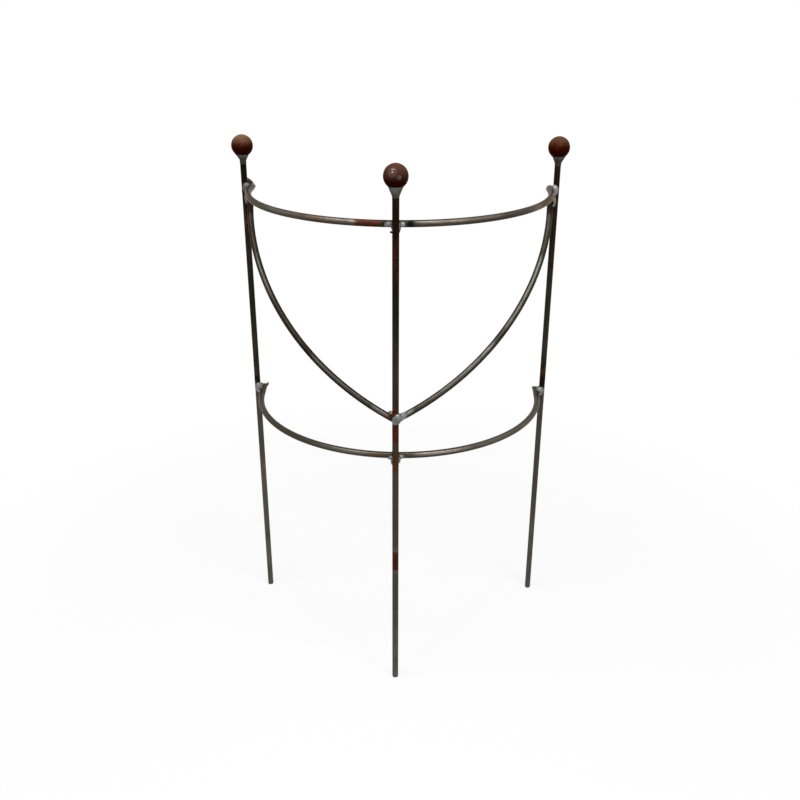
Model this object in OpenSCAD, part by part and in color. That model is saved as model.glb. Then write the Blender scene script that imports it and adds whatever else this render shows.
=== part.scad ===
// Half-round plant support: three stakes of round bar with ball tops, welded to two
// rolled half hoops and to two swag bars that meet in a V on the front stake.
// Millimetres. Z is up from the feet, the front stake faces -Y.

/* [Bar] */
// Diameter of the round bar that every stake, hoop and swag is cut from
bar_d = 8; // [6:0.5:10]

/* [Stakes] */
// Cut length of a stake, from its foot to the seat of its ball
stake_len = 666; // [560:1:900]
// Angle from the front stake round to each back stake, seen from above
stake_angle = 92; // [80:1:105]
// Chamfer round the foot of a stake
foot_chamfer = 0.6; // [0.2:0.1:1.5]

/* [Balls] */
// Diameter of the ball on top of a stake
ball_d = 28; // [20:1:40]

/* [Hoops] */
// Outside diameter of a hoop
hoop_d = 400; // [300:5:520]
// Distance of the upper hoop's centre line below the seat of the balls
upper_hoop_drop = 40; // [30:1:120]
// Height of the lower hoop's centre line above the feet
lower_hoop_z = 338; // [150:1:380]
// Length of a hoop's end that runs on past the back stake
hoop_tail = 17; // [10:1:40]
// Slope of the two faces that a bolt cropper leaves at a hoop's end
crop_slope = 28; // [20:1:45]
// Thickness of the blunt edge between those faces
crop_edge = 1; // [0.4:0.1:2]
// Turn of that edge about the bar on the upper hoop, its inner end downwards
upper_crop_turn = 34; // [-45:1:45]

/* [Swags] */
// Distance of a swag's top end below the upper hoop's centre line
swag_top_drop = 15; // [12:1:60]
// Height of the V, where the swags meet, above the lower hoop's centre line
swag_foot_rise = 50; // [30:1:120]
// Rise of a swag's arc over the straight line between its ends
swag_bow = 49; // [25:1:70]
// Turn of that arc about the straight line: 0 bows straight outwards, 90 hangs straight down
swag_hang = 22; // [5:1:40]
// Angle round the back stake where the swag's top end touches it, from the front inwards
swag_touch = 62; // [45:1:80]
// Distance of the swags' centre lines behind the front stake's, where they meet
swag_foot_back = 3; // [2:0.5:4]

/* [Welds] */
// Gap between two bars that a weld bridges
root_gap = 0.3; // [0.1:0.1:0.5]
// Height of the funnel of weld under a ball
ball_weld_h = 11; // [6:0.5:16]
// Width of that funnel at the ball, beyond the bar
ball_weld_w = 3.5; // [2:0.1:5]
// Thickness of that funnel's lower edge
ball_weld_toe = 0.4; // [0.2:0.1:1]
// Length of a bead along a hoop, from each side of the front stake
front_bead_leg = 10; // [6:0.5:15]
// Thickness of that bead
front_bead_d = 10; // [8:0.5:12]
// Length of the drips that run down the front stake from that bead
drip_len = 16; // [12:1:24]
// Thickness of a drip
drip_d = 5; // [4:0.5:7]
// Length of the bead between a hoop and a back stake
back_bead_len = 17; // [12:1:22]
// Thickness of that bead
back_bead_d = 10; // [8:0.5:13]
// Length of the bead between a swag's top end and the back stake
swag_top_bead_len = 16; // [12:1:18]
// Thickness of that bead
swag_top_bead_d = 9; // [8:0.5:12]
// Length of the large bead at the foot of the right swag
right_foot_bead_len = 17; // [14:1:22]
// Thickness of that bead
right_foot_bead_d = 13; // [10:0.5:16]
// Length of the small bead at the foot of the left swag
left_foot_bead_len = 13; // [11:1:18]
// Thickness of that bead
left_foot_bead_d = 8; // [6:0.5:11]

/* [Hidden] */

bar_colour = [0.25, 0.22, 0.2];
ball_colour = [0.36, 0.19, 0.14];
weld_colour = [0.56, 0.55, 0.54];

left = -1;
right = 1;

bar_fn = 72;
roll_fn = 360;
$fn = bar_fn;

bar_r = bar_d / 2;
ball_r = ball_d / 2;
bar_pitch = bar_d + root_gap;

hoop_r = hoop_d / 2 - bar_r;
stake_ring_r = hoop_r + bar_pitch;
upper_hoop_z = stake_len - upper_hoop_drop;
hoop_end_angle = stake_angle + hoop_tail / hoop_r * 180 / PI;

// The ball is ground flat where it sits on the stake, as wide as the bar
ball_z = stake_len + sqrt(ball_r * ball_r - bar_r * bar_r);

// The origin is under the middle of the part's box, from the front ball to the rearmost end
front_y = -stake_ring_r - ball_r;
back_stake_y = -stake_ring_r * cos(stake_angle);
back_y = max(back_stake_y + ball_r, -(hoop_r + bar_r) * cos(hoop_end_angle));
centre_y = -(front_y + back_y) / 2;

// Ends of the right swag's centre line
swag_top = [
    stake_ring_r * sin(stake_angle) - bar_pitch * sin(swag_touch),
    back_stake_y - bar_pitch * cos(swag_touch),
    upper_hoop_z - swag_top_drop
];
swag_foot = [0, swag_foot_back - stake_ring_r, lower_hoop_z + swag_foot_rise];

// The swag's arc: along runs up its chord, bulge points from the chord to the bow
function unit(v) = v / norm(v);
function square_to(v, axis) = unit(v - axis * (v * axis));
chord = norm(swag_top - swag_foot);
along = unit(swag_top - swag_foot);
chord_middle = (swag_top + swag_foot) / 2;
outward = square_to([chord_middle.x, chord_middle.y, 0], along);
bulge = cos(swag_hang) * outward + sin(swag_hang) * cross(along, outward);
swag_r = (chord * chord / 4 + swag_bow * swag_bow) / (2 * swag_bow);
swag_centre = chord_middle + bulge * (swag_bow - swag_r);
swag_half_angle = asin(chord / 2 / swag_r);
// Spare length at the foot, which the mitre between the two swags cuts off
swag_spare_angle = bar_d / swag_r * 180 / PI;
// Length of the cuts that shape the foot
foot_reach = 4 * bar_d;
// Length of the cuts that crop a hoop's ends
crop_reach = 4 * bar_d;

// Depth of a bead's centre line below the face of the bar that it runs along
bead_sink = 0.2;
// Greatest pitch of the puddles in a bead, and the size of its end ones against its middle one
puddle_pitch = 4;
puddle_taper = 0.55;
// Drop of a bead below the joint that it closes, and its turn round the stake from the front
upper_bead_drop = 0;
lower_bead_drop = 1.5;
upper_drip_drop = 3;
lower_drip_drop = 5;
drip_turn = 110;
back_bead_turn = 25;
swag_top_bead_drop = 3;
swag_top_bead_turn = 18;
right_foot_bead_drop = -3;
right_foot_bead_turn = 60;
left_foot_bead_drop = -8;
left_foot_bead_turn = 105;

module bar(length) cylinder(h = length, r = bar_r);

// A bead along Z: a row of overlapping puddles of weld, smaller towards both ends
module bead(length, thickness) {
    middle_r = thickness / 2;
    end_r = middle_r * puddle_taper;
    end_z = length / 2 - end_r;
    last = ceil(end_z / puddle_pitch);
    for (i = [-last:last])
        translate([0, 0, end_z * i / last])
            sphere(r = middle_r + (end_r - middle_r) * pow(i / last, 2));
}

module at_stake(angle) rotate([0, 0, angle]) translate([0, -stake_ring_r, 0]) children();

// A bead along a stake, turned round it by an angle from the front
module stake_bead(angle, turn, z, length, thickness) at_stake(angle)
    rotate([0, 0, turn - angle])
        translate([0, bead_sink - bar_r, z]) bead(length, thickness);

module in_part_frame() translate([0, centre_y, 0]) children();

module stake_bar(angle) at_stake(angle)
    union() {
        cylinder(h = foot_chamfer, r1 = bar_r - foot_chamfer, r2 = bar_r);
        translate([0, 0, foot_chamfer]) bar(stake_len - foot_chamfer);
    }

module ball(angle) at_stake(angle)
    difference() {
        translate([0, 0, ball_z]) sphere(r = ball_r);
        translate([0, 0, stake_len - ball_d]) cylinder(h = ball_d, r = ball_r);
    }

// Funnel of weld from the ball down to the bar, with a hollow flank
module ball_weld(angle) {
    ring_r = bar_r + ball_weld_w;
    ring_z = ball_z - sqrt(ball_r * ball_r - ring_r * ring_r);
    toe_z = ring_z - ball_weld_h;
    flare = ball_weld_w - ball_weld_toe;
    flank_r = (ball_weld_h * ball_weld_h + flare * flare) / (2 * flare);
    at_stake(angle)
        rotate_extrude()
            difference() {
                translate([bar_r, toe_z]) square([ball_weld_w, ball_z - toe_z]);
                translate([bar_r + ball_weld_toe + flank_r, toe_z]) circle(r = flank_r, $fn = roll_fn);
                translate([0, ball_z]) circle(r = ball_r, $fn = roll_fn);
            }
}

module hoop_bar(z)
    translate([0, 0, z])
        rotate([0, 0, -90 - hoop_end_angle])
            rotate_extrude(angle = 2 * hoop_end_angle, $fn = roll_fn)
                translate([hoop_r, 0]) rotate(180) circle(r = bar_r, $fn = bar_fn);

// A half hoop whose ends are cropped from two sides to a blunt edge
module cropped_hoop(z, turn)
    difference() {
        hoop_bar(z);
        for (side = [left, right], face = [0, 1])
            rotate([0, 0, side * hoop_end_angle])
                translate([0, -hoop_r, z])
                    mirror([side == left ? 1 : 0, 0, 0])
                        rotate([-turn, 0, 0])
                            mirror([0, 0, face])
                                translate([0, 0, crop_edge / 2])
                                    rotate([0, crop_slope, 0])
                                        translate([-crop_reach, -crop_reach, 0])
                                            cube(2 * crop_reach);
    }

module swag_arc(side)
    mirror([side == left ? 1 : 0, 0, 0])
        multmatrix([
            [bulge.x, along.x, cross(bulge, along).x, swag_centre.x],
            [bulge.y, along.y, cross(bulge, along).y, swag_centre.y],
            [bulge.z, along.z, cross(bulge, along).z, swag_centre.z],
            [0, 0, 0, 1]
        ])
            rotate([0, 0, -swag_half_angle - swag_spare_angle])
                rotate_extrude(angle = 2 * swag_half_angle + swag_spare_angle, $fn = roll_fn)
                    translate([swag_r, 0]) rotate(180) circle(r = bar_r, $fn = bar_fn);

// The foot is mitred against the other swag
module mitred_swag(side)
    difference() {
        swag_arc(side);
        mirror([side == left ? 1 : 0, 0, 0])
            translate(swag_foot + [root_gap / 2 - foot_reach, -foot_reach / 2, -foot_reach / 2])
                cube(foot_reach);
    }

// The mitred foot is coped round the front stake
module swag(side)
    difference() {
        mitred_swag(side);
        at_stake(0)
            translate([0, 0, swag_foot.z - foot_reach / 2])
                cylinder(h = foot_reach, r = bar_r + root_gap);
    }

// Beads along a hoop from both sides of the front stake, with drips down the stake
module front_weld(hoop_z, bead_drop, drip_drop) {
    half_length = bar_r + front_bead_leg;
    hoop_face_r = hoop_r + bar_r;
    tip_r = sqrt(hoop_face_r * hoop_face_r - half_length * half_length);
    difference() {
        union() {
            translate([0, bead_sink - tip_r, hoop_z - bead_drop])
                rotate([0, 90, 0]) bead(2 * half_length, front_bead_d);
            for (side = [left, right])
                stake_bead(0, side * drip_turn, hoop_z - drip_drop, drip_len, drip_d);
        }
        stake_bar(0);
        hoop_bar(hoop_z);
    }
}

// A bead down the front of a back stake, over its joint with a hoop
module back_weld(side, hoop_z)
    difference() {
        stake_bead(side * stake_angle, -side * back_bead_turn, hoop_z, back_bead_len, back_bead_d);
        stake_bar(side * stake_angle);
        hoop_bar(hoop_z);
    }

// A bead down the front of a back stake, from the top end of a swag
module swag_top_weld(side)
    difference() {
        stake_bead(
            side * stake_angle, -side * swag_top_bead_turn,
            swag_top.z - swag_top_bead_drop, swag_top_bead_len, swag_top_bead_d
        );
        stake_bar(side * stake_angle);
        swag_arc(side);
    }

module right_foot_bead()
    stake_bead(
        0, right * right_foot_bead_turn,
        swag_foot.z - right_foot_bead_drop, right_foot_bead_len, right_foot_bead_d
    );

module left_foot_bead()
    stake_bead(
        0, left * left_foot_bead_turn,
        swag_foot.z - left_foot_bead_drop, left_foot_bead_len, left_foot_bead_d
    );

// A bead on the front stake, cut back to the bars that meet there
module swag_foot_weld()
    difference() {
        children();
        stake_bar(0);
        mitred_swag(left);
        mitred_swag(right);
    }

module front_stake() color(bar_colour) in_part_frame() stake_bar(0);
module left_stake() color(bar_colour) in_part_frame() stake_bar(left * stake_angle);
module right_stake() color(bar_colour) in_part_frame() stake_bar(right * stake_angle);

module front_ball() color(ball_colour) in_part_frame() ball(0);
module left_ball() color(ball_colour) in_part_frame() ball(left * stake_angle);
module right_ball() color(ball_colour) in_part_frame() ball(right * stake_angle);

module front_ball_weld() color(weld_colour) in_part_frame() ball_weld(0);
module left_ball_weld() color(weld_colour) in_part_frame() ball_weld(left * stake_angle);
module right_ball_weld() color(weld_colour) in_part_frame() ball_weld(right * stake_angle);

module upper_hoop() color(bar_colour) in_part_frame() cropped_hoop(upper_hoop_z, upper_crop_turn);
module lower_hoop() color(bar_colour) in_part_frame() cropped_hoop(lower_hoop_z, 0);

module upper_hoop_front_weld()
    color(weld_colour) in_part_frame() front_weld(upper_hoop_z, upper_bead_drop, upper_drip_drop);
module upper_hoop_left_weld() color(weld_colour) in_part_frame() back_weld(left, upper_hoop_z);
module upper_hoop_right_weld() color(weld_colour) in_part_frame() back_weld(right, upper_hoop_z);

module lower_hoop_front_weld()
    color(weld_colour) in_part_frame() front_weld(lower_hoop_z, lower_bead_drop, lower_drip_drop);
module lower_hoop_left_weld() color(weld_colour) in_part_frame() back_weld(left, lower_hoop_z);
module lower_hoop_right_weld() color(weld_colour) in_part_frame() back_weld(right, lower_hoop_z);

module left_swag() color(bar_colour) in_part_frame() swag(left);
module right_swag() color(bar_colour) in_part_frame() swag(right);

module left_swag_top_weld() color(weld_colour) in_part_frame() swag_top_weld(left);
module right_swag_top_weld() color(weld_colour) in_part_frame() swag_top_weld(right);

// The small bead stops against the large one
module left_swag_foot_weld()
    color(weld_colour) in_part_frame() swag_foot_weld()
        difference() {
            left_foot_bead();
            right_foot_bead();
        }
module right_swag_foot_weld() color(weld_colour) in_part_frame() swag_foot_weld() right_foot_bead();

front_stake();
left_stake();
right_stake();
front_ball();
left_ball();
right_ball();
front_ball_weld();
left_ball_weld();
right_ball_weld();
upper_hoop();
lower_hoop();
upper_hoop_front_weld();
upper_hoop_left_weld();
upper_hoop_right_weld();
lower_hoop_front_weld();
lower_hoop_left_weld();
lower_hoop_right_weld();
left_swag();
right_swag();
left_swag_top_weld();
right_swag_top_weld();
left_swag_foot_weld();
right_swag_foot_weld();
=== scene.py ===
import math
from collections import namedtuple

import bpy
import numpy as np
from mathutils import Matrix, Vector


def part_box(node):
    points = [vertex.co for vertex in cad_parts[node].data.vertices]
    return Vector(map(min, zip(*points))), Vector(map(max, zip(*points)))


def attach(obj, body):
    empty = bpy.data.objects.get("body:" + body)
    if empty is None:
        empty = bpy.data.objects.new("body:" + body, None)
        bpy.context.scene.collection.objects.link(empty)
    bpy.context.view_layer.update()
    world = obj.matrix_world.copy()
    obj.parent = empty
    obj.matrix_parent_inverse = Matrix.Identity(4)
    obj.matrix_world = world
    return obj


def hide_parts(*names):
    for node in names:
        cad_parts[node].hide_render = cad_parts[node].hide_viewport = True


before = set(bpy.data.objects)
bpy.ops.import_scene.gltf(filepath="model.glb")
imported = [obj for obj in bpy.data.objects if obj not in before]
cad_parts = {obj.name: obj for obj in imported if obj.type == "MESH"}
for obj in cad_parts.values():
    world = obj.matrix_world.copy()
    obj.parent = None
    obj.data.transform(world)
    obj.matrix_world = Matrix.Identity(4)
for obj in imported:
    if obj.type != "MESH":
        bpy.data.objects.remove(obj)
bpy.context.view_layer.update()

bl_info = {
    "name": "Plant Support",
    "version": (1, 0, 0),
    "blender": (4, 5, 0),
    "location": "3D View > Sidebar > Plant Support",
    "description": "Builds the looks of a welded half-round plant support over its CAD frame",
    "category": "Object",
}

BODY = "root"
MM = 0.001
LEFT = -1
RIGHT = 1
SIDE_NAMES = {LEFT: "left", RIGHT: "right"}
STAKES = ("front", "left", "right")

# Rings and sides of the grids
BAR_SIDES = 40
BAR_PITCH = 2 * MM
ROUND_STEPS = 5
FACE_RINGS = 5
BALL_RINGS = 64
BALL_SIDES = 96
COLLAR_RINGS = 28
COLLAR_SIDES = 64
BEAD_RINGS = 44
BEAD_SIDES = 32
SPECK_RINGS = 5
SPECK_SIDES = 8
FLOOR_SIDES = 96
# Edges that are sharper than this stay sharp
SMOOTH_ANGLE = math.radians(38)
# Waves that make up the lumps of a surface
WAVES = 9


def node_box(node):
    """The lowest and the highest corner of a CAD node, as arrays."""
    low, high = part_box(node)
    return np.array(low), np.array(high)


def middle(node):
    """The middle of a CAD node's box."""
    low, high = node_box(node)
    return (low + high) / 2


# Sizes that the frame gives
STAKE_LOW, STAKE_HIGH = node_box("front_stake")
BAR_R = (STAKE_HIGH[0] - STAKE_LOW[0]) / 2
STAKE_AXES = {name: middle(name + "_stake")[:2] for name in STAKES}
BALL_LOW, BALL_HIGH = node_box("front_ball")
BALL_R = (BALL_HIGH[0] - BALL_LOW[0]) / 2
BALL_Z = BALL_HIGH[2] - BALL_R
COLLAR_LOW, COLLAR_HIGH = node_box("front_ball_weld")
COLLAR_R = (COLLAR_HIGH[0] - COLLAR_LOW[0]) / 2
HOOP_LOW, HOOP_HIGH = node_box("lower_hoop")
HOOP_R = (HOOP_HIGH[0] - HOOP_LOW[0]) / 2 - BAR_R
HOOP_Y = HOOP_LOW[1] + HOOP_R + BAR_R
HOOP_END = math.acos((HOOP_Y - HOOP_HIGH[1]) / (HOOP_R + BAR_R))
HOOP_Z = {"upper": middle("upper_hoop")[2], "lower": middle("lower_hoop")[2]}
STAKE_RING_R = HOOP_Y - STAKE_AXES["front"][1]


def setting_maker(**kind):
    """A function that makes settings of one kind: numbers that a user can change."""

    def setting(name, description, default):
        return bpy.props.FloatProperty(name=name, description=description, default=default, **kind)

    return setting


length = setting_maker(unit="LENGTH", precision=4)
share = setting_maker(min=0, max=1, subtype="FACTOR")
strength = setting_maker(min=0)
power = setting_maker(min=0, unit="POWER")
focal_length = setting_maker(unit="CAMERA")


def angle(name, description, default):
    """An angle that a user can change, given here in degrees."""
    return setting_maker(unit="ROTATION")(name, description, math.radians(default))


def colour(name, description, default):
    """A colour that a user can change, as linear red, green and blue."""
    return bpy.props.FloatVectorProperty(
        name=name, description=description, default=default, size=3, min=0, max=1, subtype="COLOR"
    )


class PlantBarSettings(bpy.types.PropertyGroup):
    """Round bar of the stakes, hoops and swags"""

    radius: length("Radius", "Radius of the round bar", BAR_R)
    cut_edge: length("Cut Edge", "Rounding of a sheared bar end", 0.5 * MM)
    close_from: angle("Close From", "Where a hoop starts to bend more closely, from the front", 60)
    straight_from: angle("Straight From", "Heading at which a hoop's straight end starts", 87)
    crop_slope: angle("Crop Slope", "Slope of the two faces at a hoop's cropped end", 28)
    crop_edge: length("Crop Edge", "Thickness of the blunt edge between those faces", 1 * MM)
    crop_turn: angle("Crop Turn", "Turn of that edge on the upper hoop, inner end downwards", 34)
    crop_spread: share("Crop Spread", "How much wider a hoop's cropped end is than the bar", 0.17)
    melted: share("Melted End", "How much narrower the upper hoop's right end is", 0.6)
    melt_back: length("Melt Back", "Length melted off the upper hoop's right end", 5 * MM)
    crop_reach: length("Crop Reach", "Length of bar that widens towards a cropped end", 9 * MM)
    crop_rounding: length("Crop Rounding", "Rounding of a cropped end", 0.25 * MM)
    worn_foot: length("Worn Foot", "Rounding of the right stake's foot", 2.2 * MM)
    dark: colour("Dark Scale", "Thick mill scale", (0.011, 0.0085, 0.0050))
    middle: colour("Middle Scale", "Ordinary mill scale", (0.055, 0.050, 0.042))
    pale: colour("Pale Scale", "Thin, pale mill scale", (0.155, 0.137, 0.119))
    stain: colour("Stain", "Brown stain over the scale", (1.0, 0.66, 0.46))
    rust: colour("Rust", "Rust", (0.150, 0.037, 0.015))
    deep_rust: colour("Deep Rust", "Old rust", (0.030, 0.006, 0.003))
    soot: colour("Soot", "Burnt scale beside a weld", (0.008, 0.0055, 0.0035))
    # Rubbed steel, also the colour of the painted highlight along the hoops and swags
    worn: colour("Worn Steel", "Steel where the scale is rubbed off", (0.275, 0.262, 0.240))


class PlantBallSettings(bpy.types.PropertyGroup):
    """Balls on the stakes"""

    radius: length("Radius", "Radius of a ball", BALL_R)
    dent: length("Dents", "Depth of the dents in a ball", 0.08 * MM)
    rust: colour("Rust", "Main colour of the rusted ball", (0.095, 0.030, 0.015))
    # Dust on the upper side of the balls, which also stands for a painted top light
    dust: colour("Dust", "Dry, dusty rust on the upper side", (0.220, 0.122, 0.070))
    # Dark rust and a painted shade on the lower side of the balls, also the colour of their chips
    dark: colour("Dark Rust", "Dark rust on the lower side", (0.064, 0.0065, 0.0014))
    bloom: colour("Bloom", "Purple bloom on the front ball", (0.105, 0.041, 0.031))


class PlantSwagSettings(bpy.types.PropertyGroup):
    """Curve of the swags"""

    top_drop: length("Top Drop", "Top end below the upper hoop's centre line", 15 * MM)
    foot_rise: length("Foot Rise", "The V above the lower hoop's centre line", 50 * MM)
    foot_back: length("Foot Back", "Swags' centre lines behind the front stake's", 3 * MM)
    bow: length("Bow", "Rise of the arc over the line between its ends", 49 * MM)
    hang: angle("Hang", "Turn of the arc about the line between its ends", 22)
    touch: angle("Touch", "Where the top end meets the back stake, from the front", 62)
    root_gap: length("Root Gap", "Gap between two bars that a weld bridges", 0.3 * MM)


class PlantWeldSettings(bpy.types.PropertyGroup):
    """Weld beads and the collars under the balls"""

    ripple: share("Ripple", "Depth of the ripples against a bead's radius", 0.008)
    lump: share("Lumps", "Height of the lumps against a bead's radius", 0.07)
    lump_size: length("Lump Size", "Width of a lump", 9 * MM)
    collar_spread: length("Collar Spread", "Width of a collar's top beyond the plain funnel", 1.4 * MM)
    collar_lump: length("Collar Lumps", "Height of the lumps on a collar", 0.45 * MM)
    metal: colour("Weld Metal", "Clean weld metal", (0.277, 0.281, 0.282))
    shade: colour("Weld Shade", "Dull weld metal", (0.147, 0.147, 0.144))
    straw: colour("Straw Tint", "Straw heat tint", (0.20, 0.165, 0.130))
    slag: colour("Slag", "Burnt slag", (0.012, 0.010, 0.009))
    collar: colour("Collar", "Weld metal of the collars", (0.140, 0.138, 0.123))
    collar_dark: colour("Collar Shade", "Dull weld metal of the collars", (0.052, 0.044, 0.037))


class PlantStageSettings(bpy.types.PropertyGroup):
    """Floor, light and camera"""

    floor_radius: length("Floor Radius", "Radius of the floor", 3.0)
    floor_shadow: share("Floor Shadow", "How much of the floor is lit by the lamps", 0.25)
    floor_level: share("Floor Level", "Brightness of that part where no shadow falls", 0.7)
    floor_bounce: share("Floor Bounce", "Light that the floor gives back to the object", 0.06)
    sky: strength("Sky", "Light from all round", 0.08)
    top: power("Top Light", "Power of the wide overhead light", 30.0)
    left: power("Left Light", "Power of the small light on the left", 4.2)
    right: power("Right Light", "Power of the light on the right", 4.0)
    low: power("Low Light", "Power of the small low light on the right", 1.2)
    lens: focal_length("Lens", "Focal length of the camera", 40.76)
    camera_pitch: angle("Camera Pitch", "How far the camera looks down", 23.978)
    camera_yaw: angle("Camera Yaw", "Turn of the camera to the right", -1.169)
    camera_roll: angle("Camera Roll", "Tilt of the camera", 0.183)
    camera_place: bpy.props.FloatVectorProperty(
        name="Camera Place",
        description="Where the camera stands",
        default=(25.44 * MM, -1093.79 * MM, 855.08 * MM),
        size=3,
        subtype="TRANSLATION",
    )


SETTINGS = {
    "plant_bar": PlantBarSettings,
    "plant_ball": PlantBallSettings,
    "plant_swag": PlantSwagSettings,
    "plant_weld": PlantWeldSettings,
    "plant_stage": PlantStageSettings,
}

# Points of a closed surface, its four-sided and three-sided faces, and what it says at each point
Skin = namedtuple("Skin", "points quads triangles values")


def unit(vector):
    """The vector at length 1."""
    return vector / np.linalg.norm(vector, axis=-1, keepdims=True)


def turns_round(sides):
    """Equal turns round a ring, in radians."""
    return np.arange(sides) * (2 * math.pi / sides)


def step_up(value, low, high):
    """0 below low and 1 above high, with the curve 3t^2 - 2t^3 between."""
    t = np.clip((value - low) / (high - low), 0, 1)
    return t * t * (3 - 2 * t)


def lumps(points, size, seed):
    """The mean of plane sine waves of one wavelength that run in fixed random directions."""
    draw = np.random.default_rng(seed)
    directions = unit(draw.normal(size=(WAVES, 3)))
    phases = draw.uniform(0, 2 * math.pi, WAVES)
    return np.sin(points @ directions.T * (2 * math.pi / size) + phases).mean(axis=-1)


def close_grid(points, start_pole, end_pole, values):
    """A tube from a grid of rings: each ring joins the next, and a fan to a pole closes each end."""
    rings, sides = points.shape[:2]
    here = np.arange(sides)
    after = np.roll(here, -1)
    first = np.arange(rings - 1)[:, None] * sides
    quads = np.stack(
        (first + here, first + after, first + sides + after, first + sides + here), axis=-1
    )
    last = (rings - 1) * sides
    start_fan = np.stack((np.full(sides, rings * sides), after, here), axis=-1)
    end_fan = np.stack((np.full(sides, rings * sides + 1), last + here, last + after), axis=-1)
    all_points = np.concatenate((points.reshape(-1, 3), start_pole[None], end_pole[None]))
    poles = {name: np.stack((v[0].mean(axis=0), v[-1].mean(axis=0))) for name, v in values.items()}
    flat = {name: v.reshape((rings * sides,) + v.shape[2:]) for name, v in values.items()}
    all_values = {name: np.concatenate((flat[name], poles[name])) for name in values}
    return Skin(all_points, quads.reshape(-1, 4), np.concatenate((start_fan, end_fan)), all_values)


def join_skins(skins):
    """Several closed surfaces as one list of points and faces, each counted on from the last."""
    counts = np.cumsum([0] + [len(skin.points) for skin in skins])
    quads = [skin.quads + count for skin, count in zip(skins, counts)]
    triangles = [skin.triangles + count for skin, count in zip(skins, counts)]
    values = {
        name: np.concatenate([skin.values[name] for skin in skins]) for name in skins[0].values
    }
    return Skin(
        np.concatenate([skin.points for skin in skins]),
        np.concatenate(quads),
        np.concatenate(triangles),
        values,
    )


def add_piece(name, skin, material, node):
    """Puts a closed surface into a mesh object that rides on the frame in place of a CAD node."""
    mesh = bpy.data.meshes.new(name)
    mesh.from_pydata(skin.points.tolist(), [], skin.quads.tolist() + skin.triangles.tolist())
    for value_name, value in skin.values.items():
        is_vector = value.ndim == 2
        kind = "FLOAT_VECTOR" if is_vector else "FLOAT"
        attribute = mesh.attributes.new(value_name, kind, "POINT")
        attribute.data.foreach_set(
            "vector" if is_vector else "value", np.ascontiguousarray(value, np.float32).ravel()
        )
    mesh.shade_smooth()
    mesh.set_sharp_from_angle(angle=SMOOTH_ANGLE)
    mesh.materials.append(material)
    piece = bpy.data.objects.new(name, mesh)
    bpy.context.scene.collection.objects.link(piece)
    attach(piece, BODY)
    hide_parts(node)


# Round bar

# The side of the bars that gets a painted highlight where they are worn, turned to where the top
# lamp's highlight falls, and how far that reaches round a bar
PAINTED_HIGHLIGHT_WAY = unit(np.array((-0.12, -0.86, 0.50)))
PAINTED_HIGHLIGHT_REACH = math.radians(38)
MARK_KINDS = ("rust", "stain", "soot", "worn")
# How a bar looks along its length: its tone, from 0 dark to 1 pale, at places, and the marks of each
# kind, given as start, end, softness of both edges and strength. The worn marks are worn steel and a
# painted highlight.
Wear = namedtuple("Wear", ("places", "tones", *MARK_KINDS), defaults=((), (), (), ()))

# Along the stakes in millimetres from the foot
STAKE_WEAR = {
    "front": Wear(
        (0, 60, 136, 165, 178, 200, 214, 292, 350, 410, 450, 490, 530, 620, 666),
        (0.70, 0.66, 0.48, 0.5, 0.85, 0.85, 0.52, 0.54, 0.38, 0.20, 0.30, 0.17, 0.06, 0.03, 0.0),
        rust=(
            (175, 204, 4, 0.85), (318, 346, 6, 0.55), (360, 388, 8, 0.75), (392, 407, 5, 0.72),
            (555, 622, 15, 0.42), (630, 666, 6, 0.36),
        ),
        stain=(
            (172, 207, 5, 0.7), (214, 320, 30, 0.45), (320, 364, 8, 0.8), (400, 480, 20, 0.5),
            (585, 668, 10, 0.9),
        ),
        soot=((600, 640, 12, 0.24), (640, 666, 6, 0.42)),
    ),
    "left": Wear(
        (0, 30, 60, 90, 160, 214, 260, 320, 350, 410, 450, 530, 600, 666),
        (0.66, 0.68, 0.72, 0.62, 0.66, 0.72, 0.52, 0.60, 0.20, 0.21, 0.14, 0.13, 0.10, 0.0),
        rust=((360, 420, 20, 0.25), (560, 602, 20, 0.5)),
        stain=((190, 235, 15, 0.3),),
        soot=((346, 362, 6, 0.5), (628, 672, 8, 0.5)),
    ),
    "right": Wear(
        (0, 140, 176, 214, 254, 320, 350, 410, 490, 530, 600, 666),
        (0.66, 0.62, 0.50, 0.56, 0.52, 0.45, 0.12, 0.21, 0.21, 0.12, 0.10, 0.06),
        rust=((346, 385, 14, 0.4), (520, 600, 30, 0.3), (640, 660, 8, 0.2)),
        stain=((50, 66, 8, 0.3), (128, 146, 8, 0.35)),
        soot=((346, 366, 8, 0.6), (628, 640, 5, 0.4)),
    ),
}
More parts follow.
